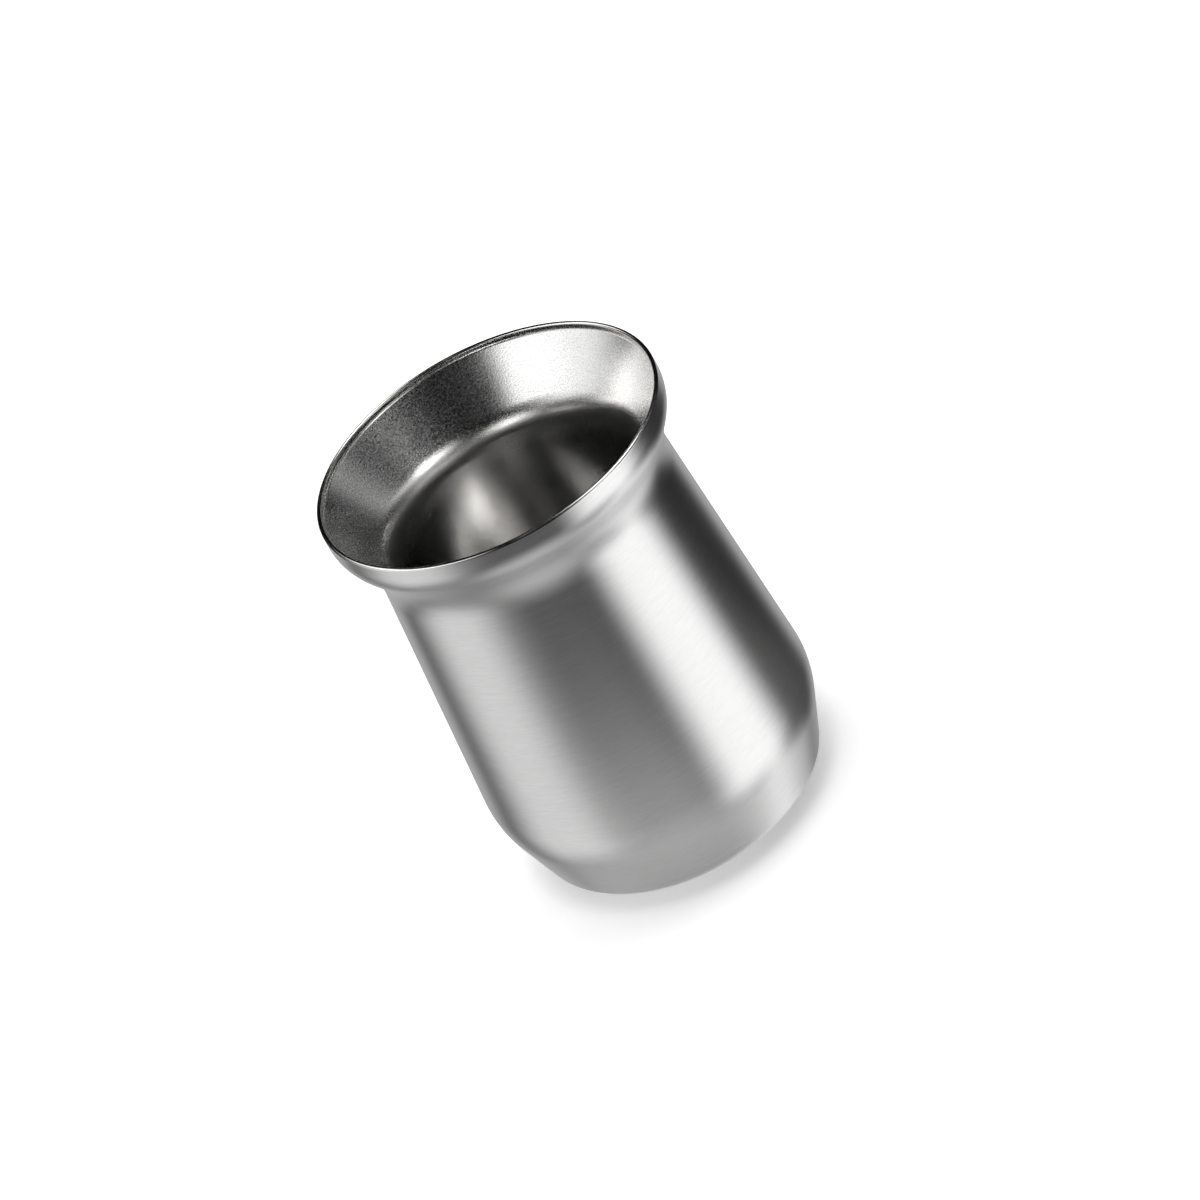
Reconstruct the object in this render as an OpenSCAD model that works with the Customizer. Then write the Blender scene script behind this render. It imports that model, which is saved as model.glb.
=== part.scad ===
// Double-walled steel cup for mate: an outer shell and an inner liner, welded together at the lip,
// with a vacuum between them that is closed by a welded base under a cover plate.
// The axis of the cup is Z, the foot stands on Z = 0, and all sizes are in millimetres.

/* [Outside form] */
// Height from the foot to the top of the lip
cup_h = 98.9; // [90:0.1:115]
// Outer radius of the lip
lip_r = 38; // [36:0.1:42]
// How much wider the collar is than the lip
collar_swell = 0.1; // [0:0.05:0.5]
// Depth of the collar's lower edge under the top of the lip
collar_drop = 5.2; // [4:0.1:6.5]
// Rounding where the collar turns in to the neck
collar_round = 8.3; // [3:0.1:10]
// Depth of the neck under the top of the lip
neck_drop = 14.4; // [13:0.1:17]
// Rounding of the hollow of the neck
neck_round = 16; // [8:0.5:18]
// How much narrower the belly bend's corner is than the collar
belly_inset = 0.5; // [0:0.1:3]
// Height of the belly bend over the foot
belly_z = 17.4; // [14:0.1:22]
// Rounding of the belly bend
belly_round = 22.6; // [10:0.1:30]
// Radius of the foot at its corner
foot_r = 32; // [30.5:0.1:34]
// Rounding of the foot's corner
foot_round = 3.5; // [1.5:0.1:4.5]

/* [Inside form] */
// Radius of the throat and of the straight wall under it, inside
throat_r = 27.5; // [25.5:0.1:29]
// Depth of the throat under the top of the lip
throat_drop = 15; // [13:0.1:19]
// Rounding of the throat
throat_round = 12; // [5:0.5:18]
// Rounding where the lip's upright land turns in to the flare
land_round = 1.2; // [0.6:0.1:3]
// Height of the floor of the cup over the foot
floor_z = 9; // [7.5:0.1:12]
// Rounding between the wall and the floor
floor_round = 8; // [4:0.5:10]

/* [Sheet, gap and welds] */
// Thickness of the outer shell's sheet
shell_t = 0.5; // [0.4:0.05:0.7]
// Thickness of the liner's sheet
liner_t = 0.5; // [0.4:0.05:0.7]
// Thickness of the vacuum base's sheet
base_t = 0.5; // [0.4:0.05:0.7]
// Vacuum gap between the two walls at the neck
neck_gap = 3.9; // [2.6:0.1:5]
// Height over which the liner lies against the shell under the lip
lip_land = 0.9; // [0.5:0.1:1.5]
// Width of the butt welds
weld_w = 0.8; // [0.5:0.1:1.2]
// How far the butt welds stand proud on the vacuum side
weld_rise = 0.15; // [0.05:0.05:0.3]
// Height of the liner's bottom seam over the floor of the cup
seam_rise = 11; // [10.6:0.1:16]

/* [Radiation foil] */
// Thickness of the foil
foil_t = 0.1; // [0.08:0.01:0.2]
// Clearance between the liner and the foil wound round it
foil_gap = 0.1; // [0.05:0.05:0.4]
// Distance of the foil from the bends above and the seam below it
foil_margin = 2; // [1:0.5:6]

/* [Vacuum base] */
// Width of the foot's flat turned-in ring, from the foot's corner
foot_ring_w = 4.6; // [4.2:0.1:6]
// Width of the base's flange inside its weld
flange_w = 0.8; // [0.7:0.1:1.5]
// How far the step leans in over its height
step_lean = 0.4; // [0.1:0.1:1]
// Rounding of the step's two corners
step_round = 0.7; // [0.55:0.05:0.9]
// Height of the plate's underside over the foot
plate_z = 2; // [1.8:0.1:2.6]
// Radius of the evacuation dimple at the plate
dimple_r = 7.5; // [6.5:0.1:9]
// Radius of the dimple's roof
dimple_roof_r = 5.6; // [4.6:0.1:6]
// Depth of the dimple
dimple_deep = 1.8; // [1.4:0.1:2.2]
// Rounding of the dimple's corners
dimple_round = 0.8; // [0.75:0.05:0.9]
// Radius of the evacuation hole
vent_r = 1; // [0.5:0.1:1.5]

/* [Glass seal] */
// Radius of the glass bead that closes the evacuation hole
glass_r = 3; // [2:0.1:4]
// Depth of the bead under the dimple's roof
glass_deep = 0.9; // [0.5:0.1:1.2]
// Height of the glass that has run up into the hole
glass_plug = 0.35; // [0.1:0.05:0.4]

/* [Getter] */
// Distance of the getter's middle from the edge of the base's plate
getter_inset = 9.4; // [8:0.1:11]
// Radius of the getter pill
pill_r = 4; // [3:0.1:4.5]
// Height of the getter pill
pill_h = 2.6; // [2:0.1:3.2]
// Chamfer of the pill's edges
pill_chamfer = 0.3; // [0.1:0.05:0.5]
// Thickness of the strap over the pill
strap_t = 0.25; // [0.15:0.05:0.4]
// Width of the strap
strap_w = 4; // [3:0.1:6]
// Length of each of the strap's feet
strap_foot = 2.6; // [2:0.1:4]
// Clearance between the strap and the pill
strap_gap = 0.1; // [0.05:0.05:0.3]
// Rounding of the strap's corners
strap_round = 0.5; // [0.45:0.05:0.8]

/* [Cover plate] */
// Height of the cover's face over the foot
cover_z = 0.9; // [0.6:0.05:1]
// Thickness of the cover's sheet
cover_t = 0.4; // [0.3:0.05:0.5]
// Height of the cover's turned-up edge
cover_edge = 0.6; // [0.55:0.05:0.7]
// Rounding of the cover's edge
cover_round = 0.55; // [0.5:0.01:0.55]
// Clearance between the cover and the step round it
cover_gap = 0.3; // [0.2:0.05:0.6]
// Distance of the glue ring from the cover's edge
glue_inset = 2; // [1.5:0.1:4]
// Width of the glue ring
glue_w = 4; // [2:0.1:6]

/* [Hidden] */

// Facets of a full turn, the angle of one facet of a rounding, and the wider angle that is enough
// on a small rounding
turn_fn = 120;
round_step = 3;
small_round = 2;
small_step = 9;
// Shares of a straight that a rounding may use up, between two corners and at the end of a line
middle_share = 0.49;
end_share = 0.95;

// Outside sizes that follow from the others
bead_r = (shell_t + liner_t) / 2;
lip_z = cup_h - bead_r;
collar_r = lip_r + collar_swell;
neck_r = throat_r + liner_t + neck_gap + shell_t;
belly_r = collar_r - belly_inset;
base_open_r = foot_r - foot_ring_w;

// Inside sizes that follow from the others
mouth_r = lip_r - shell_t - liner_t;
throat_z = cup_h - throat_drop;
seam_z = floor_z + seam_rise;
foil_r = throat_r + liner_t + foil_gap;

// Base sizes that follow from the others
flange_r = base_open_r - weld_w;
step_r = flange_r - flange_w;
plate_r = step_r - step_lean;
plate_top = plate_z + base_t;
dimple_z = plate_z + dimple_deep;
cover_r = plate_r - cover_gap;
glue_r = cover_r - glue_inset;
getter_x = plate_r - getter_inset;

// A line is a list of corners, each [radius, height, rounding], and the metal lies on one side of
// it: the lines run down the outside of the cup, down its inside, and inwards under its base.
shell_line = [[lip_r, lip_z], [collar_r, cup_h - collar_drop, collar_round],
              [neck_r, cup_h - neck_drop, neck_round], [belly_r, belly_z, belly_round],
              [foot_r, 0, foot_round], [base_open_r, 0]];
liner_line = [[mouth_r, lip_z], [mouth_r, lip_z - lip_land, land_round],
              [throat_r, throat_z, throat_round], [throat_r, seam_z + weld_w / 2]];
bottom_line = [[throat_r, seam_z - weld_w / 2], [throat_r, floor_z, floor_round], [0, floor_z]];
base_line = [[flange_r, 0], [step_r, 0, step_round], [plate_r, plate_z, step_round],
             [dimple_r, plate_z, dimple_round], [dimple_roof_r, dimple_z, dimple_round],
             [vent_r, dimple_z]];
cover_line = [[cover_r, cover_z + cover_edge], [cover_r, cover_z, cover_round], [0, cover_z]];

function spot(c) = [c.x, c.y];
function left_of(d) = [-d.y, d.x];
function swing(v, a) = [v.x * cos(a) - v.y * sin(a), v.x * sin(a) + v.y * cos(a)];

// Straight i of a line runs from corner i to the next: its length, and its direction
function straight(line, i) = norm(spot(line[i + 1]) - spot(line[i]));
function heading(line, i) = (spot(line[i + 1]) - spot(line[i])) / straight(line, i);

// The angle by which a line turns at corner i, positive to the left
function turn(line, i) =
    atan2(cross(heading(line, i - 1), heading(line, i)), heading(line, i - 1) * heading(line, i));

// The length of straight i that one rounding may use up
function room(line, i) =
    straight(line, i) * (i == 0 || i == len(line) - 2 ? end_share : middle_share);

// The length that the rounding of corner i uses up on each side, kept within its straights
function reach(line, i) =
    min(line[i].z * tan(abs(turn(line, i)) / 2), room(line, i - 1), room(line, i));

// The arc at corner i, moved by off to the left of the line
function arc(line, i, off) =
    let (angle = turn(line, i), r = reach(line, i) / tan(abs(angle) / 2), side = sign(angle),
         ahead = heading(line, i - 1), centre = spot(line[i]) - reach(line, i) * ahead
             + side * r * left_of(ahead),
         steps = ceil(abs(angle) / (r < small_round ? small_step : round_step)))
    [for (k = [0:steps]) centre + (off - side * r) * swing(left_of(ahead), angle * k / steps)];

// A whole line with its corners rounded, moved by off to its left
function run(line, off) =
    let (last = len(line) - 1)
    concat([spot(line[0]) + off * left_of(heading(line, 0))],
           [for (i = [1:last - 1]) each arc(line, i, off)],
           [spot(line[last]) + off * left_of(heading(line, last - 1))]);

function backwards(list) = [for (i = [len(list) - 1:-1:0]) list[i]];

// The outline of a sheet whose one face follows the line, with the other moved by off to its left
function sheet(line, off) = concat(run(line, 0), backwards(run(line, off)));

module spin(outline) {
    rotate_extrude($fn = turn_fn)
        polygon(outline);
}

module outer_shell() {
    color("silver")
        spin(sheet(shell_line, -shell_t));
}

module inner_liner() {
    color("lightgray")
        spin(sheet(liner_line, liner_t));
}

// Half-round bead over the two sheet edges at the lip
module rim_weld() {
    color("gainsboro")
        spin([for (a = [0:small_step:180])
            [lip_r - bead_r + bead_r * cos(a), lip_z + bead_r * sin(a)]]);
}

module inner_bottom() {
    color("lightgray")
        spin(sheet(bottom_line, liner_t));
}

// Butt weld between the liner's wall and its bottom, flush inside and crowned outside
module inner_bottom_weld() {
    wall_r = throat_r + liner_t;
    color("darkgray")
        spin(concat(
            [[throat_r, seam_z + weld_w / 2], [throat_r, seam_z - weld_w / 2]],
            [for (a = [-90:small_step:90])
                [wall_r + weld_rise * cos(a), seam_z + weld_w / 2 * sin(a)]]));
}

// One turn of foil round the straight wall of the liner
module radiation_foil() {
    low_z = seam_z + weld_w / 2 + foil_margin;
    high_z = throat_z - reach(liner_line, 2) - foil_margin;
    color("peru")
        spin([[foil_r, low_z], [foil_r + foil_t, low_z], [foil_r + foil_t, high_z], [foil_r, high_z]]);
}

module vacuum_base() {
    color("darkgray")
        spin(sheet(base_line, -base_t));
}

// Butt weld between the foot's ring and the base, ground flush underneath and crowned above
module vacuum_base_weld() {
    mid_r = base_open_r - weld_w / 2;
    color("gray")
        spin(concat(
            [[flange_r, 0], [base_open_r, 0]],
            [for (a = [0:small_step:180])
                [mid_r + weld_w / 2 * cos(a),
                 (shell_t + base_t) / 2 + (shell_t - base_t) / 2 * cos(a) + weld_rise * sin(a)]]));
}

// Bead of solder glass under the dimple's roof, with the glass that has run up into the hole
module seal_glass() {
    color("dimgray")
        spin(concat(
            [for (a = [0:small_step:90])
                [glass_r * sin(a), dimple_z - glass_deep * cos(a)]],
            [[vent_r, dimple_z], [vent_r, dimple_z + glass_plug], [0, dimple_z + glass_plug]]));
}

module getter_pill() {
    color("dimgray")
        translate([getter_x, 0, plate_top])
            spin([[0, 0], [pill_r - pill_chamfer, 0], [pill_r, pill_chamfer],
                  [pill_r, pill_h - pill_chamfer], [pill_r - pill_chamfer, pill_h], [0, pill_h]]);
}

// Strap over the pill, with its feet spot-welded to the base on both sides
module getter_strap() {
    half_w = pill_r + strap_gap;
    top = pill_h + strap_gap;
    end = half_w + strap_t + strap_foot;
    line = [[end, strap_t], [half_w + strap_t, strap_t, strap_round],
            [half_w + strap_t, top + strap_t, strap_round],
            [-half_w - strap_t, top + strap_t, strap_round],
            [-half_w - strap_t, strap_t, strap_round], [-end, strap_t]];
    color("lightsteelblue")
        translate([getter_x + strap_w / 2, 0, plate_top])
            rotate([90, 0, -90])
                linear_extrude(strap_w)
                    polygon(sheet(line, strap_t));
}

// Ring of glue between the cover and the plate of the base
module cover_glue() {
    color("whitesmoke")
        spin([[glue_r - glue_w, cover_z + cover_t], [glue_r, cover_z + cover_t],
              [glue_r, plate_z], [glue_r - glue_w, plate_z]]);
}

module base_cover() {
    color("silver")
        spin(sheet(cover_line, -cover_t));
}

outer_shell();
inner_liner();
rim_weld();
inner_bottom();
inner_bottom_weld();
radiation_foil();
vacuum_base();
vacuum_base_weld();
seal_glass();
getter_pill();
getter_strap();
cover_glue();
base_cover();
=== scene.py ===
import bpy
import bmesh
import numpy as np
from mathutils import Matrix, Vector


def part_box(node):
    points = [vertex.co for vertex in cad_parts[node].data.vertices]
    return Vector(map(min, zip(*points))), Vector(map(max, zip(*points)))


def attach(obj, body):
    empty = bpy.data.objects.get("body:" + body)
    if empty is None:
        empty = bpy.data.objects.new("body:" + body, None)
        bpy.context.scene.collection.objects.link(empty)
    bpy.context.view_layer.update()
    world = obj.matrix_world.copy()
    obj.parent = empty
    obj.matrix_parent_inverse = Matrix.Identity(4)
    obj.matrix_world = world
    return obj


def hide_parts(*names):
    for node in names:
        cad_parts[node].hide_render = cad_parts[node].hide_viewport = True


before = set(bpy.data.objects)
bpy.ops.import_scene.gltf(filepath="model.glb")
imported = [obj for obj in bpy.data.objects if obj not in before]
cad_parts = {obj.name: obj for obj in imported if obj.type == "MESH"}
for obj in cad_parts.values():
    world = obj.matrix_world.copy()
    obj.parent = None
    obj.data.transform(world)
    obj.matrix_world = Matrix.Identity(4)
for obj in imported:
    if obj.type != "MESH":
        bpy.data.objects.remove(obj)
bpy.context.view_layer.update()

MM = 0.001

# The outer shell
# The shell is one sheet of stainless steel, spun and drawn to the collar, the neck, the belly and
# the rounded foot, where its edge turns in to a flat ring. It is brushed round its axis with a
# fine belt, so the scratches run round the cup and light spreads along its length.
cup_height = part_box("rim_weld")[1].z
lip_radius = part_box("rim_weld")[1].x
sheet_thickness = 0.5 * MM
lip_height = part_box("outer_shell")[1].z
collar_radius, collar_height, collar_rounding = 38.1 * MM, cup_height - 5.2 * MM, 8.3 * MM
neck_radius, neck_height, neck_rounding = 32.4 * MM, cup_height - 14.4 * MM, 16 * MM
belly_radius, belly_height, belly_rounding = 37.6 * MM, 17.4 * MM, 22.6 * MM
foot_radius, foot_rounding = 32 * MM, 3.5 * MM
base_opening_radius = 27.4 * MM
MIDDLE_SHARE, END_SHARE = 0.49, 0.95


def rounded(corners, off=0.0, step=2.0):
    """Points of a line of [radius, height, rounding] corners, moved by off to its left: every
    corner becomes an arc that touches both straights, drawn in steps of the given angle, and an
    arc takes up at most a share of each straight beside it."""
    corners = [tuple(c) + (0.0,) * (3 - len(c)) for c in corners]
    spots = np.array([c[:2] for c in corners])
    legs = np.diff(spots, axis=0)
    lengths = np.linalg.norm(legs, axis=1)
    heads = legs / lengths[:, None]
    lefts = np.stack([-heads[:, 1], heads[:, 0]], axis=1)
    shares = np.full(len(lengths), MIDDLE_SHARE)
    shares[[0, -1]] = END_SHARE
    parts = [spots[0] + off * lefts[0]]
    for i in range(1, len(spots) - 1):
        ahead, after = heads[i - 1], heads[i]
        turn = np.arctan2(ahead[0] * after[1] - ahead[1] * after[0], ahead @ after)
        half_tan = np.tan(abs(turn) / 2)
        room = min(lengths[i - 1] * shares[i - 1], lengths[i] * shares[i])
        reach = min(corners[i][2] * half_tan, room)
        radius, side = reach / half_tan, np.sign(turn)
        centre = spots[i] - reach * ahead + side * radius * lefts[i - 1]
        count = max(3, int(np.ceil(np.degrees(abs(turn)) / step)))
        a = turn * np.arange(count + 1) / count
        left = lefts[i - 1]
        swung = np.stack([left[0] * np.cos(a) - left[1] * np.sin(a),
                          left[0] * np.sin(a) + left[1] * np.cos(a)], axis=1)
        parts.append(centre + (off - side * radius) * swung)
    parts.append(spots[-1] + off * lefts[-1])
    return np.vstack(parts)


def filled_in(points, longest):
    """The same line with points added on its straights, none further apart than longest."""
    out = [points[:1]]
    for a, b in zip(points[:-1], points[1:]):
        count = max(1, int(np.ceil(np.linalg.norm(b - a) / longest)))
        out.append(a + (b - a) * (np.arange(1, count + 1) / count)[:, None])
    return np.vstack(out)


def sheet_outline(corners, off, longest=3 * MM):
    """The closed outline of a sheet: along the line, and back along the line moved by off."""
    return np.vstack([filled_in(rounded(corners), longest),
                      filled_in(rounded(corners, off), longest)[::-1]])


ON_THE_AXIS, MERGE_DISTANCE = 1e-9, 1e-7
SHARP_ANGLE = 40


def turned(name, outline, around=240):
    """A closed outline of radius and height turned round Z: point (i, j) of the grid is outline
    point i at the angle 2 pi j / around. Points on the axis become one pole. Edges sharper than
    the sharp angle stay sharp, and the rest is smooth."""
    angle = 2 * np.pi * np.arange(around) / around
    radius, height = outline[:, 0][:, None], outline[:, 1][:, None]
    grid = np.stack([radius * np.cos(angle), radius * np.sin(angle),
                     np.broadcast_to(height, (len(outline), around))], axis=-1)
    i, j = np.meshgrid(np.arange(len(outline)), np.arange(around), indexing="ij")
    i_next, j_next = (i + 1) % len(outline), (j + 1) % around
    quads = np.stack([i * around + j, i * around + j_next,
                      i_next * around + j_next, i_next * around + j], axis=-1)
    on_axis = outline[:, 0] < ON_THE_AXIS
    quads = quads[~(on_axis[i] & on_axis[i_next])]
    mesh = bpy.data.meshes.new(name)
    mesh.from_pydata(grid.reshape(-1, 3), [], quads.reshape(-1, 4).tolist())
    soup = bmesh.new()
    soup.from_mesh(mesh)
    bmesh.ops.remove_doubles(soup, verts=soup.verts, dist=MERGE_DISTANCE)
    bmesh.ops.recalc_face_normals(soup, faces=soup.faces)
    soup.to_mesh(mesh)
    soup.free()
    mesh.shade_smooth()
    mesh.set_sharp_from_angle(angle=np.radians(SHARP_ANGLE))
    piece = bpy.data.objects.new(name, mesh)
    bpy.context.scene.collection.objects.link(piece)
    return piece


def new_group(name, inputs, outputs):
    """A shader node group with float inputs, given with their defaults, and float outputs."""
    tree = bpy.data.node_groups.new(name, "ShaderNodeTree")
    for label, default in inputs.items():
        socket = tree.interface.new_socket(label, in_out="INPUT", socket_type="NodeSocketFloat")
        socket.default_value = default
    for label in outputs:
        tree.interface.new_socket(label, in_out="OUTPUT", socket_type="NodeSocketFloat")
    return tree, tree.nodes.new("NodeGroupInput"), tree.nodes.new("NodeGroupOutput")


def maths(tree, operation, *values):
    """A Math node with numbers or sockets on its inputs. Returns its output."""
    node = tree.nodes.new("ShaderNodeMath")
    node.operation = operation
    for socket, value in zip(node.inputs, values):
        if isinstance(value, (int, float)):
            socket.default_value = value
        else:
            tree.links.new(value, socket)
    return node.outputs[0]


def noise(tree, vector, scale, detail=2.0, roughness=0.5, contrast=2.4):
    """A Noise node read at a vector, its swing round a half stretched by contrast and clamped."""
    node = tree.nodes.new("ShaderNodeTexNoise")
    node.inputs["Scale"].default_value = scale
    node.inputs["Detail"].default_value = detail
    node.inputs["Roughness"].default_value = roughness
    tree.links.new(vector, node.inputs["Vector"])
    value = maths(tree, "MULTIPLY_ADD", node.outputs["Fac"], contrast, 0.5 - contrast / 2)
    value.node.use_clamp = True
    return value


def blend_of(tree, factor, dark, light):
    """A colour that goes from dark to light with the factor."""
    node = tree.nodes.new("ShaderNodeMix")
    node.data_type = "RGBA"
    tree.links.new(factor, node.inputs["Factor"])
    colour_a, colour_b = [one for one in node.inputs if one.type == "RGBA"]
    colour_a.default_value = (*dark, 1.0)
    colour_b.default_value = (*[min(1.0, part) for part in light], 1.0)
    return [one for one in node.outputs if one.type == "RGBA"][0]


def raised(tree, height, distance):
    """Joins a height to the shader's normal as a bump of the given distance."""
    relief = tree.nodes.new("ShaderNodeBump")
    relief.inputs["Strength"].default_value = 1.0
    relief.inputs["Distance"].default_value = distance
    tree.links.new(height, relief.inputs["Height"])
    tree.links.new(relief.outputs["Normal"], tree.nodes["Principled BSDF"].inputs["Normal"])


# Scratches that run round the axis: noise that is long round the cup and short along its outline.
# Outline length is taken as height plus radius, which changes along every sheet of this cup.
grain_tree, grain_in, grain_out = new_group(
    "turned grain", {"Long": 250.0, "Short": 4000.0}, ["Fine", "Broad"])
place = grain_tree.nodes.new("ShaderNodeTexCoord").outputs["Object"]
split = grain_tree.nodes.new("ShaderNodeSeparateXYZ")
grain_tree.links.new(place, split.inputs[0])
axis_distance = maths(grain_tree, "SQRT", maths(
    grain_tree, "ADD", maths(grain_tree, "MULTIPLY", split.outputs["X"], split.outputs["X"]),
    maths(grain_tree, "MULTIPLY", split.outputs["Y"], split.outputs["Y"])))
outline_place = maths(grain_tree, "ADD", split.outputs["Z"], axis_distance)
# each output reads the noise at its own shares of the two rates
for output, long_share, short_share in (("Fine", 1.0, 1.0), ("Broad", 0.12, 0.25)):
    stretched = grain_tree.nodes.new("ShaderNodeCombineXYZ")
    for axis, source, rate, share in (("X", split.outputs["X"], "Long", long_share),
                                      ("Y", split.outputs["Y"], "Long", long_share),
                                      ("Z", outline_place, "Short", short_share)):
        rate_here = maths(grain_tree, "MULTIPLY", grain_in.outputs[rate], share)
        grain_tree.links.new(maths(grain_tree, "MULTIPLY", source, rate_here),
                             stretched.inputs[axis])
    grain_tree.links.new(noise(grain_tree, stretched.outputs[0], 1.0, detail=2.5),
                         grain_out.inputs[output])


FINE_SHARE = 0.75
ROUND_THE_AXIS = 0.25


def steel(name, colour, roughness, anisotropy, grain, colour_swing, rough_swing, bump):
    """Brushed steel: the turned grain moves the colour and the roughness by a share of themselves
    and raises a fine bump. The grain is given as its rates round the cup and along its outline."""
    material = bpy.data.materials.new(name)
    material.use_nodes = True
    tree = material.node_tree
    shader = tree.nodes["Principled BSDF"]
    shader.inputs["Metallic"].default_value = 1.0
    shader.inputs["Anisotropic"].default_value = anisotropy
    shader.inputs["Anisotropic Rotation"].default_value = ROUND_THE_AXIS
    pattern = tree.nodes.new("ShaderNodeGroup")
    pattern.node_tree = grain_tree
    pattern.inputs["Long"].default_value, pattern.inputs["Short"].default_value = grain
    fine, broad = pattern.outputs["Fine"], pattern.outputs["Broad"]
    both = maths(tree, "MULTIPLY_ADD", broad, 1 - FINE_SHARE,
                 maths(tree, "MULTIPLY", fine, FINE_SHARE))
    tree.links.new(blend_of(tree, both, [part * (1 - colour_swing) for part in colour],
                            [part * (1 + colour_swing) for part in colour]),
                   shader.inputs["Base Color"])
    tree.links.new(maths(tree, "MULTIPLY_ADD", both, 2 * rough_swing * roughness,
                         roughness * (1 - rough_swing)), shader.inputs["Roughness"])
    raised(tree, fine, bump)
    return material


brushed = steel("brushed_shell_steel", (0.622, 0.621, 0.619), roughness=0.3, anisotropy=0.75,
                grain=(320.0, 4000.0), colour_swing=0.06, rough_swing=0.05, bump=0.0001 * MM)
shell_corners = [(lip_radius, lip_height), (collar_radius, collar_height, collar_rounding),
                 (neck_radius, neck_height, neck_rounding),
                 (belly_radius, belly_height, belly_rounding),
                 (foot_radius, 0.0, foot_rounding), (base_opening_radius, 0.0)]
shell = turned("outer_shell_sheet", sheet_outline(shell_corners, -sheet_thickness))
shell.data.materials.append(brushed)
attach(shell, "root")
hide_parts("outer_shell")

# The inner liner
# The liner is the second sheet of steel. It lies against the shell for a millimetre under the lip,
# then opens the mouth as a cone and goes down as a straight tube. The flare is blasted to a fine
# grain, and the tube below it is satin. Its colour is lighter than the shell's steel: painted light
# that brightens the shaded inside of the cup.
mouth_radius = lip_radius - 2 * sheet_thickness
land_height, land_rounding = lip_height - 0.9 * MM, 1.2 * MM
throat_radius, throat_height, throat_rounding = 27.5 * MM, cup_height - 15 * MM, 12 * MM
liner_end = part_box("inner_liner")[0].z
FADE_LENGTH = 5 * MM
SPECK_DARK, SPECK_LIGHT = 0.83, 1.16
SPECK_SHARE, CLOUD_SHARE, CLOUD_RATE = 0.85, 0.2, 90.0
SPECKS_LEFT_BELOW, ROUGHNESS_SWING = 0.1, 0.12


def blasted_steel(name, colour, roughness_above, roughness_below, speck_height, satin_height,
                  speck_rate, bump):
    """Steel with a blasted grain: an even noise of fine specks sets colour, roughness and bump
    above the speck height, and the roughness drops to that of a satin wall at the satin height."""
    material = bpy.data.materials.new(name)
    material.use_nodes = True
    tree = material.node_tree
    shader = tree.nodes["Principled BSDF"]
    shader.inputs["Metallic"].default_value = 1.0
    place = tree.nodes.new("ShaderNodeTexCoord").outputs["Object"]
    split = tree.nodes.new("ShaderNodeSeparateXYZ")
    tree.links.new(place, split.inputs[0])
    steps = []
    for middle in (speck_height, satin_height):
        step = tree.nodes.new("ShaderNodeMapRange")
        step.interpolation_type = "SMOOTHSTEP"
        step.inputs["From Min"].default_value = middle - FADE_LENGTH / 2
        step.inputs["From Max"].default_value = middle + FADE_LENGTH / 2
        tree.links.new(split.outputs["Z"], step.inputs["Value"])
        steps.append(step.outputs["Result"])
    blasted, dulled = steps
    specks = maths(tree, "SUBTRACT", noise(tree, place, speck_rate, roughness=0.6), 0.5)
    specks = maths(tree, "MULTIPLY", specks, maths(
        tree, "MULTIPLY_ADD", blasted, 1 - SPECKS_LEFT_BELOW, SPECKS_LEFT_BELOW))
    clouds = noise(tree, place, CLOUD_RATE)
    mixed = maths(tree, "ADD", maths(tree, "MULTIPLY_ADD", specks, SPECK_SHARE,
                                     0.5 - CLOUD_SHARE / 2),
                  maths(tree, "MULTIPLY", clouds, CLOUD_SHARE))
    tree.links.new(blend_of(tree, mixed, [part * SPECK_DARK for part in colour],
                            [part * SPECK_LIGHT for part in colour]), shader.inputs["Base Color"])
    rough = maths(tree, "MULTIPLY_ADD", dulled, roughness_above - roughness_below,
                  roughness_below)
    tree.links.new(maths(tree, "MULTIPLY_ADD", specks, ROUGHNESS_SWING, rough),
                   shader.inputs["Roughness"])
    raised(tree, specks, bump)
    return material


# lighter than the shell's steel: painted light that brightens the shaded inside of the cup
lightened_liner_steel = blasted_steel("blasted_liner_steel", (0.8, 0.795, 0.785), roughness_above=0.25,
                            roughness_below=0.15, speck_height=throat_height + 1.5 * MM,
                            satin_height=throat_height - 6 * MM, speck_rate=2900.0,
                            bump=0.008 * MM)
liner_corners = [(mouth_radius, lip_height), (mouth_radius, land_height, land_rounding),
                 (throat_radius, throat_height, throat_rounding), (throat_radius, liner_end)]
liner = turned("inner_liner_sheet", sheet_outline(liner_corners, sheet_thickness))
liner.data.materials.append(lightened_liner_steel)
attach(liner, "root")
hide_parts("inner_liner")

# The rim weld
# The two sheet edges are fused together at the lip, and the bead is ground to a half round and
# polished, so it is brighter and smoother than the sheets on both sides of it.
rim_steel = steel("polished_rim_steel", (0.66, 0.655, 0.645), roughness=0.2, anisotropy=0.4,
                  grain=(120.0, 6000.0), colour_swing=0.04, rough_swing=0.2, bump=0.002 * MM)
bead_radius = cup_height - lip_height
bead_points = 25
bead_angle = np.radians(np.linspace(0, 180, bead_points))
bead_outline = np.stack([lip_radius - bead_radius + bead_radius * np.cos(bead_angle),
                         lip_height + bead_radius * np.sin(bead_angle)], axis=1)
rim = turned("rim_weld_bead", bead_outline)
rim.data.materials.append(rim_steel)
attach(rim, "root")
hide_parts("rim_weld")

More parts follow.
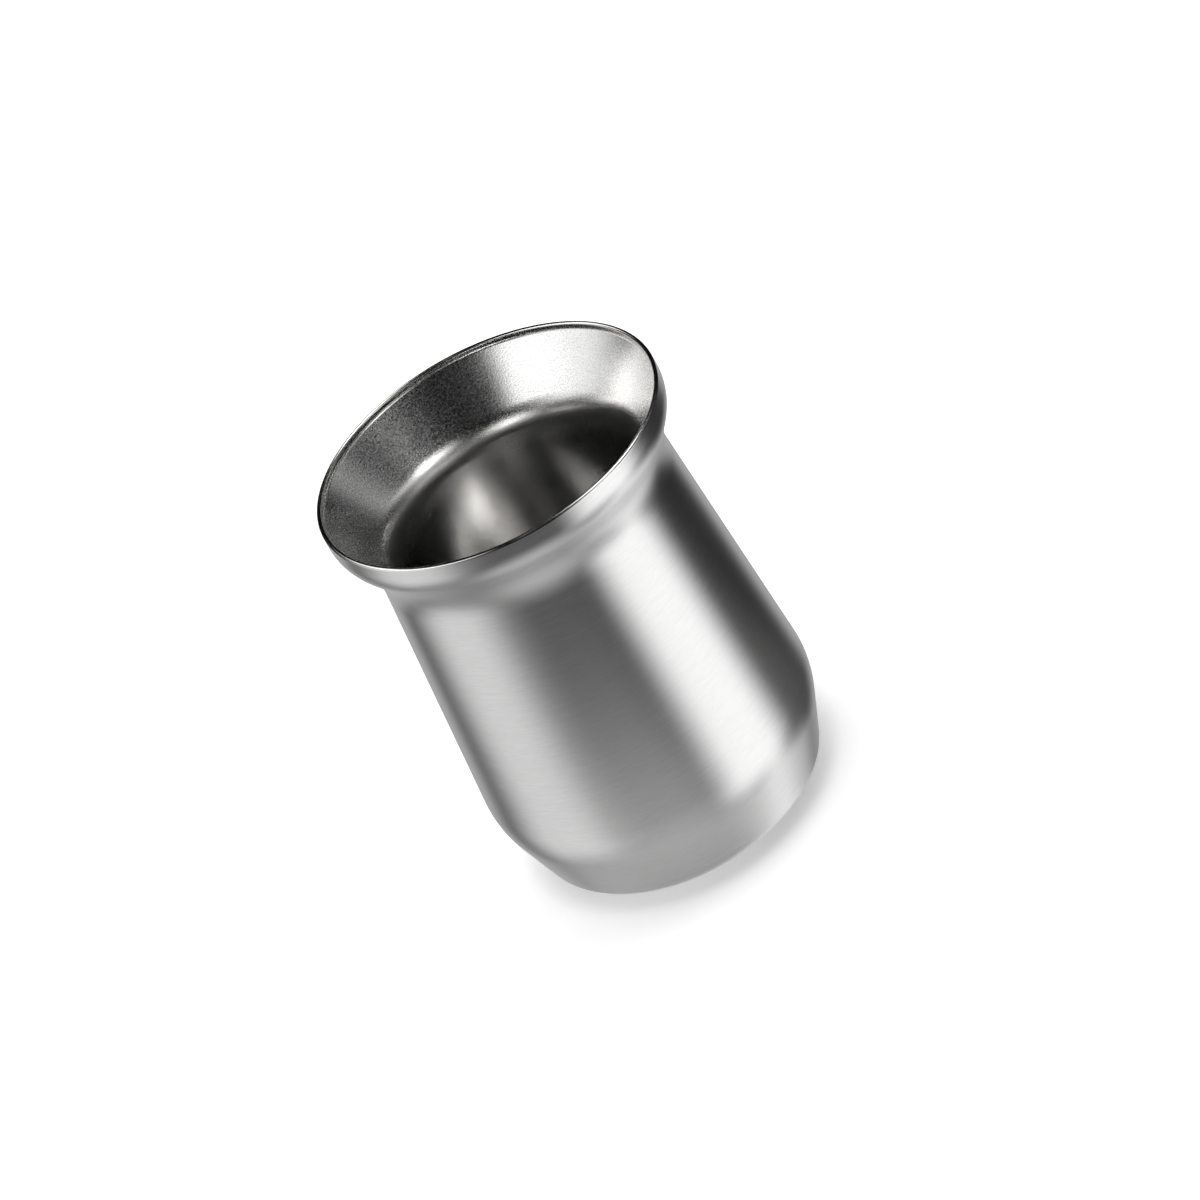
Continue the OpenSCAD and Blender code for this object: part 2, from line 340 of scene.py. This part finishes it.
# The inner bottom and its weld
# A drawn dish with a rounded corner is butt-welded to the end of the liner's tube. The weld is
# planished flush inside, where it shows as a narrow smoother band.
seam_height = (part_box("inner_bottom_weld")[0].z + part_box("inner_bottom_weld")[1].z) / 2
seam_half_width = (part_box("inner_bottom_weld")[1].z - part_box("inner_bottom_weld")[0].z) / 2
seam_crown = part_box("inner_bottom_weld")[1].x - throat_radius - sheet_thickness
floor_height, floor_rounding = 9 * MM, 8 * MM
bottom_corners = [(throat_radius, seam_height - seam_half_width),
                  (throat_radius, floor_height, floor_rounding), (0.0, floor_height)]
bottom = turned("inner_bottom_dish", sheet_outline(bottom_corners, sheet_thickness))
# the dish takes the liner's lightened steel, with the same painted light
bottom.data.materials.append(lightened_liner_steel)
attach(bottom, "root")
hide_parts("inner_bottom")

weld_steel = steel("ground_weld_steel", (0.52, 0.505, 0.48), roughness=0.26, anisotropy=0.5,
                   grain=(300.0, 5000.0), colour_swing=0.08, rough_swing=0.25, bump=0.004 * MM)
crown_points = 13
crown_angle = np.radians(np.linspace(-90, 90, crown_points))
seam_outline = np.vstack([
    [[throat_radius, seam_height + seam_half_width],
     [throat_radius, seam_height - seam_half_width]],
    np.stack([throat_radius + sheet_thickness + seam_crown * np.cos(crown_angle),
              seam_height + seam_half_width * np.sin(crown_angle)], axis=1)])
seam = turned("inner_bottom_weld_bead", seam_outline)
seam.data.materials.append(weld_steel)
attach(seam, "root")
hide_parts("inner_bottom_weld")

# The vacuum base
# A dished plate of the same sheet, pressed in one stroke: its edge lies in the foot's ring, a step
# lifts the flat middle, and a dimple in the centre holds the hole through which the air is drawn.
# It keeps the dull face of the rolled sheet.
base_steel = steel("rolled_base_steel", (0.55, 0.55, 0.545), roughness=0.36, anisotropy=0.3,
                   grain=(140.0, 1600.0), colour_swing=0.04, rough_swing=0.2, bump=0.001 * MM)
base_edge_radius, step_foot_radius, plate_radius = 26.6 * MM, 25.8 * MM, 25.4 * MM
plate_height, step_rounding = 2 * MM, 0.7 * MM
dimple_radius, roof_radius, roof_height, dimple_rounding = 7.5 * MM, 5.6 * MM, 3.8 * MM, 0.8 * MM
vent_radius = 1 * MM
base_corners = [(base_edge_radius, 0.0), (step_foot_radius, 0.0, step_rounding),
                (plate_radius, plate_height, step_rounding),
                (dimple_radius, plate_height, dimple_rounding),
                (roof_radius, roof_height, dimple_rounding), (vent_radius, roof_height)]
base = turned("vacuum_base_dish", sheet_outline(base_corners, -sheet_thickness))
base.data.materials.append(base_steel)
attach(base, "root")
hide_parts("vacuum_base")

# The weld round the vacuum base
# The base's edge and the shell's turned-in ring are melted together edge to edge. The bead is flush
# underneath, where the cup stands, and rises a little on the side of the vacuum.
base_weld_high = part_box("vacuum_base_weld")[1]
base_weld_middle = (base_edge_radius + base_opening_radius) / 2
base_weld_half = (base_opening_radius - base_edge_radius) / 2
base_crown = np.radians(np.linspace(0, 180, crown_points))
base_weld_outline = np.vstack([
    [[base_edge_radius, 0.0], [base_opening_radius, 0.0]],
    np.stack([base_weld_middle + base_weld_half * np.cos(base_crown),
              sheet_thickness + (base_weld_high.z - sheet_thickness) * np.sin(base_crown)],
             axis=1)])
base_weld = turned("vacuum_base_weld_bead", base_weld_outline)
base_weld.data.materials.append(weld_steel)
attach(base_weld, "root")
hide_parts("vacuum_base_weld")

# The cover under the foot
# A thin plate with a low upturned edge is glued under the base and hides the dimple and the seal.
# Its face is brushed in circles.
cover_steel = steel("spun_cover_steel", (0.6, 0.6, 0.595), roughness=0.28, anisotropy=0.7,
                    grain=(70.0, 3800.0), colour_swing=0.05, rough_swing=0.25, bump=0.0015 * MM)
cover_radius, cover_height, cover_edge_height = 25.1 * MM, 0.9 * MM, 1.5 * MM
cover_rounding, cover_thickness = 0.55 * MM, 0.4 * MM
cover_corners = [(cover_radius, cover_edge_height), (cover_radius, cover_height, cover_rounding),
                 (0.0, cover_height)]
cover = turned("base_cover_plate", sheet_outline(cover_corners, -cover_thickness))
cover.data.materials.append(cover_steel)
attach(cover, "root")
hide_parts("base_cover")

# The small pieces in the vacuum and behind the cover
# One turn of thin bright copper foil lies round the liner's tube and holds back radiant heat. A
# strip of rolled steel is spot-welded to the base and presses a pill of sintered getter alloy on
# it. A bead of dark solder glass closes the hole in the dimple, and a ring of pale glue holds the
# cover. None of them shows from outside.


def mottled(name, dark, light, lumps, roughness, rough_swing, bump, metallic=0.0):
    """An even material: noise goes from the dark to the light colour, moves the roughness by its
    swing and raises a bump."""
    material = bpy.data.materials.new(name)
    material.use_nodes = True
    tree = material.node_tree
    shader = tree.nodes["Principled BSDF"]
    shader.inputs["Metallic"].default_value = metallic
    place = tree.nodes.new("ShaderNodeTexCoord").outputs["Object"]
    value = noise(tree, place, lumps, detail=3.0)
    tree.links.new(blend_of(tree, value, dark, light), shader.inputs["Base Color"])
    tree.links.new(maths(tree, "MULTIPLY_ADD", value, 2 * rough_swing, roughness - rough_swing),
                   shader.inputs["Roughness"])
    raised(tree, value, bump)
    return material


def finish_node(node, material):
    """Puts a material in every slot of a CAD node."""
    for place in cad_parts[node].material_slots:
        place.material = material


GLASS_IOR = 1.7
finish_node("radiation_foil", mottled(
    "copper_foil_bright", dark=(0.7, 0.38, 0.25), light=(0.84, 0.5, 0.36), lumps=260.0,
    roughness=0.2, rough_swing=0.06, bump=0.04 * MM, metallic=1.0))
finish_node("getter_pill", mottled(
    "getter_alloy_sintered", dark=(0.13, 0.13, 0.135), light=(0.3, 0.3, 0.31), lumps=5200.0,
    roughness=0.62, rough_swing=0.08, bump=0.03 * MM, metallic=0.7))
finish_node("getter_strap", steel(
    "rolled_strap_steel", (0.5, 0.5, 0.5), roughness=0.34, anisotropy=0.2,
    grain=(900.0, 2600.0), colour_swing=0.07, rough_swing=0.25, bump=0.003 * MM))
solder_glass = mottled(
    "solder_glass_dark", dark=(0.1, 0.085, 0.06), light=(0.24, 0.2, 0.15), lumps=900.0,
    roughness=0.12, rough_swing=0.04, bump=0.01 * MM)
solder_glass.node_tree.nodes["Principled BSDF"].inputs["IOR"].default_value = GLASS_IOR
finish_node("seal_glass", solder_glass)
finish_node("cover_glue", mottled(
    "cover_glue_cured", dark=(0.66, 0.64, 0.58), light=(0.8, 0.79, 0.75), lumps=700.0,
    roughness=0.45, rough_swing=0.08, bump=0.05 * MM))

# The floor and the light
# The cup stands on white paper in a small studio of soft boxes and dark cloths. Angles are in
# degrees: across from the camera's side to its right, and up from the horizon.
paper_reach, floor_drop = 3.0, 0.05 * MM
paper_grey, glow_for_the_camera = 0.8, 0.32
plane = bpy.data.meshes.new("floor")
plane.from_pydata([(-paper_reach, -paper_reach, 0), (paper_reach, -paper_reach, 0),
                   (paper_reach, paper_reach, 0), (-paper_reach, paper_reach, 0)], [],
                  [(0, 1, 2, 3)])
floor = bpy.data.objects.new("floor", plane)
bpy.context.scene.collection.objects.link(floor)
paper = bpy.data.materials.new("white_paper")
paper.use_nodes = True
paper_shader = paper.node_tree.nodes["Principled BSDF"]
paper_shader.inputs["Base Color"].default_value = (paper_grey, paper_grey, paper_grey, 1)
paper_shader.inputs["Roughness"].default_value = 1.0
paper_shader.inputs["Specular IOR Level"].default_value = 0.0
paper_shader.inputs["Emission Color"].default_value = (1, 1, 1, 1)
tree = paper.node_tree
paper_path = tree.nodes.new("ShaderNodeLightPath")
tree.links.new(maths(tree, "MULTIPLY", paper_path.outputs["Is Camera Ray"], glow_for_the_camera),
               paper_shader.inputs["Emission Strength"])
# from below the paper is clear, so that the underside can be looked at
clear = tree.nodes.new("ShaderNodeMixShader")
tree.links.new(tree.nodes.new("ShaderNodeNewGeometry").outputs["Backfacing"], clear.inputs[0])
tree.links.new(paper_shader.outputs[0], clear.inputs[1])
tree.links.new(tree.nodes.new("ShaderNodeBsdfTransparent").outputs[0], clear.inputs[2])
tree.links.new(clear.outputs[0], tree.nodes["Material Output"].inputs["Surface"])
floor.data.materials.append(paper)
floor.location = (0, 0, -floor_drop)
floor.visible_glossy = False

# The metal sees two glowing patches that stand in for lit paper: painted reflections, one in front
# of the foot and a weaker one to its right, each brightest in its middle. Only reflections show
# them.
# Each is given as its place to the right and in front of the axis, the reach of its full strength,
# its whole reach and its strength.
painted_reflection_patches = ((-18 * MM, 78 * MM, 15 * MM, 75 * MM, 0.5),
               (84 * MM, 15 * MM, 8 * MM, 50 * MM, 0.1))
patch_drop, patch_gap = 0.2 * MM, 0.1 * MM
for number, (patch_right, patch_front, full_reach, reach, strength) in enumerate(painted_reflection_patches):
    patch = bpy.data.objects.new("painted_reflection_patch", plane.copy())
    patch.location = (patch_right, -patch_front, -patch_drop - patch_gap * number)
    bpy.context.scene.collection.objects.link(patch)
    glow = bpy.data.materials.new("painted_reflection_glow")
    glow.use_nodes = True
    tree = glow.node_tree
    tree.nodes.remove(tree.nodes["Principled BSDF"])
    length = tree.nodes.new("ShaderNodeVectorMath")
    length.operation = "LENGTH"
    tree.links.new(tree.nodes.new("ShaderNodeTexCoord").outputs["Object"], length.inputs[0])
    fade = tree.nodes.new("ShaderNodeMapRange")
    fade.interpolation_type = "SMOOTHSTEP"
    for label, value in zip(("From Min", "From Max", "To Min", "To Max"),
                            (full_reach, reach, strength, 0.0)):
        fade.inputs[label].default_value = value
    tree.links.new(length.outputs["Value"], fade.inputs["Value"])
    # the glow is seen only in the metal's reflections: a painted reflection of lit paper
    lit = tree.nodes.new("ShaderNodeEmission")
    tree.links.new(fade.outputs["Result"], lit.inputs["Strength"])
    joined = tree.nodes.new("ShaderNodeAddShader")
    tree.links.new(lit.outputs[0], joined.inputs[0])
    tree.links.new(tree.nodes.new("ShaderNodeBsdfTransparent").outputs[0], joined.inputs[1])
    tree.links.new(joined.outputs[0], tree.nodes["Material Output"].inputs["Surface"])
    patch.data.materials.clear()
    patch.data.materials.append(glow)
    for ray in ("camera", "diffuse", "transmission", "shadow"):
        setattr(patch, "visible_" + ray, False)

# A large lamp almost overhead throws the short soft shadow in front of the foot.
lamp_size, lamp_energy = 0.55, 6.0
lamp = bpy.data.objects.new("shadow_lamp", bpy.data.lights.new("shadow_lamp", "AREA"))
lamp.data.shape = "DISK"
lamp.data.size = lamp_size
lamp.data.energy = lamp_energy
lamp_across, lamp_up, lamp_distance = np.radians(-170), np.radians(83), 0.8
lamp.location = (lamp_distance * np.cos(lamp_up) * np.sin(lamp_across),
                 -lamp_distance * np.cos(lamp_up) * np.cos(lamp_across),
                 lamp_distance * np.sin(lamp_up))
lamp.rotation_euler = (-Vector(lamp.location)).to_track_quat("-Z", "Y").to_euler()
lamp.visible_glossy = False
lamp.visible_camera = False
bpy.context.scene.collection.objects.link(lamp)

box_tree, box_in, box_out = new_group("soft box", {
    "Across": 0, "Up": 0, "Centre": 0, "Half Width": 20, "Low": 0, "High": 20,
    "Side Softness": 10, "End Softness": 10, "Strength": 1}, ["Light"])


def soft_edge(tree, value, middle, softness):
    """From 0 to 1 over the softness round the middle, with a smooth step."""
    node = tree.nodes.new("ShaderNodeMapRange")
    node.interpolation_type = "SMOOTHSTEP"
    half_soft = maths(tree, "MULTIPLY", softness, 0.5)
    tree.links.new(value, node.inputs["Value"])
    tree.links.new(maths(tree, "SUBTRACT", middle, half_soft), node.inputs["From Min"])
    tree.links.new(maths(tree, "ADD", middle, half_soft), node.inputs["From Max"])
    return node.outputs["Result"]


half_turn = 180.0
off_centre = maths(box_tree, "SUBTRACT", box_in.outputs["Across"], box_in.outputs["Centre"])
away = maths(box_tree, "ABSOLUTE", maths(box_tree, "WRAP", off_centre, half_turn, -half_turn))
shine = maths(box_tree, "SUBTRACT", 1.0, soft_edge(
    box_tree, away, box_in.outputs["Half Width"], box_in.outputs["Side Softness"]))
shine = maths(box_tree, "MULTIPLY", shine, soft_edge(
    box_tree, box_in.outputs["Up"], box_in.outputs["Low"], box_in.outputs["End Softness"]))
shine = maths(box_tree, "MULTIPLY", shine, maths(box_tree, "SUBTRACT", 1.0, soft_edge(
    box_tree, box_in.outputs["Up"], box_in.outputs["High"], box_in.outputs["End Softness"])))
box_tree.links.new(maths(box_tree, "MULTIPLY", shine, box_in.outputs["Strength"]),
                   box_out.inputs["Light"])

world = bpy.data.worlds.new("studio")
bpy.context.scene.world = world
world.use_nodes = True
sky = world.node_tree
direction = sky.nodes.new("ShaderNodeTexCoord").outputs["Generated"]
parts = sky.nodes.new("ShaderNodeSeparateXYZ")
sky.links.new(direction, parts.inputs[0])
across = maths(sky, "MULTIPLY", maths(sky, "ARCTAN2", parts.outputs["X"], maths(
    sky, "MULTIPLY", parts.outputs["Y"], -1.0)), half_turn / np.pi)
up = maths(sky, "MULTIPLY", maths(sky, "ARCSINE", parts.outputs["Z"]), half_turn / np.pi)
# name: centre, half width, low, high, softness of the sides, softness of the ends, strength
soft_boxes = {
    "paper under the table": (-15, 124, -98.4, -49.5, 14, 6, 0.32),
    "front low": (-9.3, 37.7, -38.7, -21.4, 16, 7, 0.17),
    "front step": (-47.7, 14.7, -31, -10.7, 15, 6, 0.13),
    "main light": (52.8, 26.2, -47.1, -2.5, 27, 7, 1.78),
    "strip over the main light": (66.9, 37.4, 13.5, 18.6, 47.5, 5, 1.36),
    "strip in front": (43.9, 14.5, 16.8, 22.2, 24.3, 6.2, 3.88),
    "shoulder light": (53, 6, 17, 24, 8, 4, 2.5),
    "right fill": (117, 30, -50, 0, 20, 12, 0.03),
    "left wall": (-86.3, 30.1, -45.6, 44.1, 42, 9, 1.04),
    "strip over the left wall": (-94.6, 59.7, 32.5, 49, 14, 6, 2.0),
    "white background": (181, 38.8, -92.4, -13.3, 17.7, 7.2, 0.63),
    "high light": (120, 29, 51.7, 78, 14, 6, 5.4),
    "high light's edge": (85.2, 5, 52, 69, 14, 6, 1.71),
    "right low": (108.8, 37.4, -104.4, -48.2, 14, 10.5, 1.0),
    "ceiling": (-10, 5, 58.3, 107.4, 14, 40, 0.83)}
total = 0.0
for numbers in soft_boxes.values():
    one = sky.nodes.new("ShaderNodeGroup")
    one.node_tree = box_tree
    sky.links.new(across, one.inputs["Across"])
    sky.links.new(up, one.inputs["Up"])
    for label, value in zip(("Centre", "Half Width", "Low", "High", "Side Softness",
                             "End Softness", "Strength"), numbers):
        one.inputs[label].default_value = value
    total = maths(sky, "ADD", one.outputs["Light"], total)
sky_path = sky.nodes.new("ShaderNodeLightPath")
seen_white = maths(sky, "MAXIMUM", sky_path.outputs["Is Camera Ray"],
                   sky_path.outputs["Is Transmission Ray"])
brightness = maths(sky, "ADD", seen_white, maths(
    sky, "MULTIPLY", total, maths(sky, "SUBTRACT", 1.0, seen_white)))
backdrop = sky.nodes["Background"]
backdrop.inputs["Color"].default_value = (1, 1, 1, 1)
sky.links.new(brightness, backdrop.inputs["Strength"])

# The camera
# The photograph looks down into the cup from 33 degrees above its foot's plane, and the cup leans
# to the left in the frame, so the camera is rolled.
PICTURE_SIDE = 1200
FILM_WIDTH = 36.0
camera_distance = 1.0
camera_lean, camera_height_angle = np.radians(-29.28), np.radians(33.19)
mouth_pixel = (485.65, 443.07)
pixels_per_metre = 4952.9
mouth_centre_height = 98.7 * MM
focal_pixels = pixels_per_metre * camera_distance
mouth_seen = np.array([(mouth_pixel[0] - PICTURE_SIDE / 2) / focal_pixels * camera_distance,
                       (mouth_pixel[1] - PICTURE_SIDE / 2) / focal_pixels * camera_distance,
                       camera_distance])
axis_seen = np.array([np.cos(camera_height_angle) * np.sin(camera_lean),
                      -np.cos(camera_height_angle) * np.cos(camera_lean),
                      -np.sin(camera_height_angle)])
x_seen = np.array([np.cos(camera_lean), np.sin(camera_lean), 0.0])
y_seen = np.cross(axis_seen, x_seen)
seen = np.stack([x_seen, y_seen, axis_seen], axis=1)
camera_place = -seen.T @ (mouth_seen - mouth_centre_height * axis_seen)
turn_matrix = np.stack([seen.T @ (1, 0, 0), seen.T @ (0, -1, 0), seen.T @ (0, 0, -1)], axis=1)
camera = bpy.data.objects.new("photo_camera", bpy.data.cameras.new("photo_camera"))
bpy.context.scene.collection.objects.link(camera)
camera.matrix_world = (Matrix.Translation(Vector(camera_place))
                       @ Matrix(turn_matrix.tolist()).to_4x4())
camera.data.sensor_width = FILM_WIDTH
camera.data.lens = focal_pixels / PICTURE_SIDE * FILM_WIDTH
nearest_seen, farthest_seen = 0.05, 50.0
camera.data.clip_start, camera.data.clip_end = nearest_seen, farthest_seen
bpy.context.scene.camera = camera
bpy.context.scene.view_settings.view_transform = "Standard"
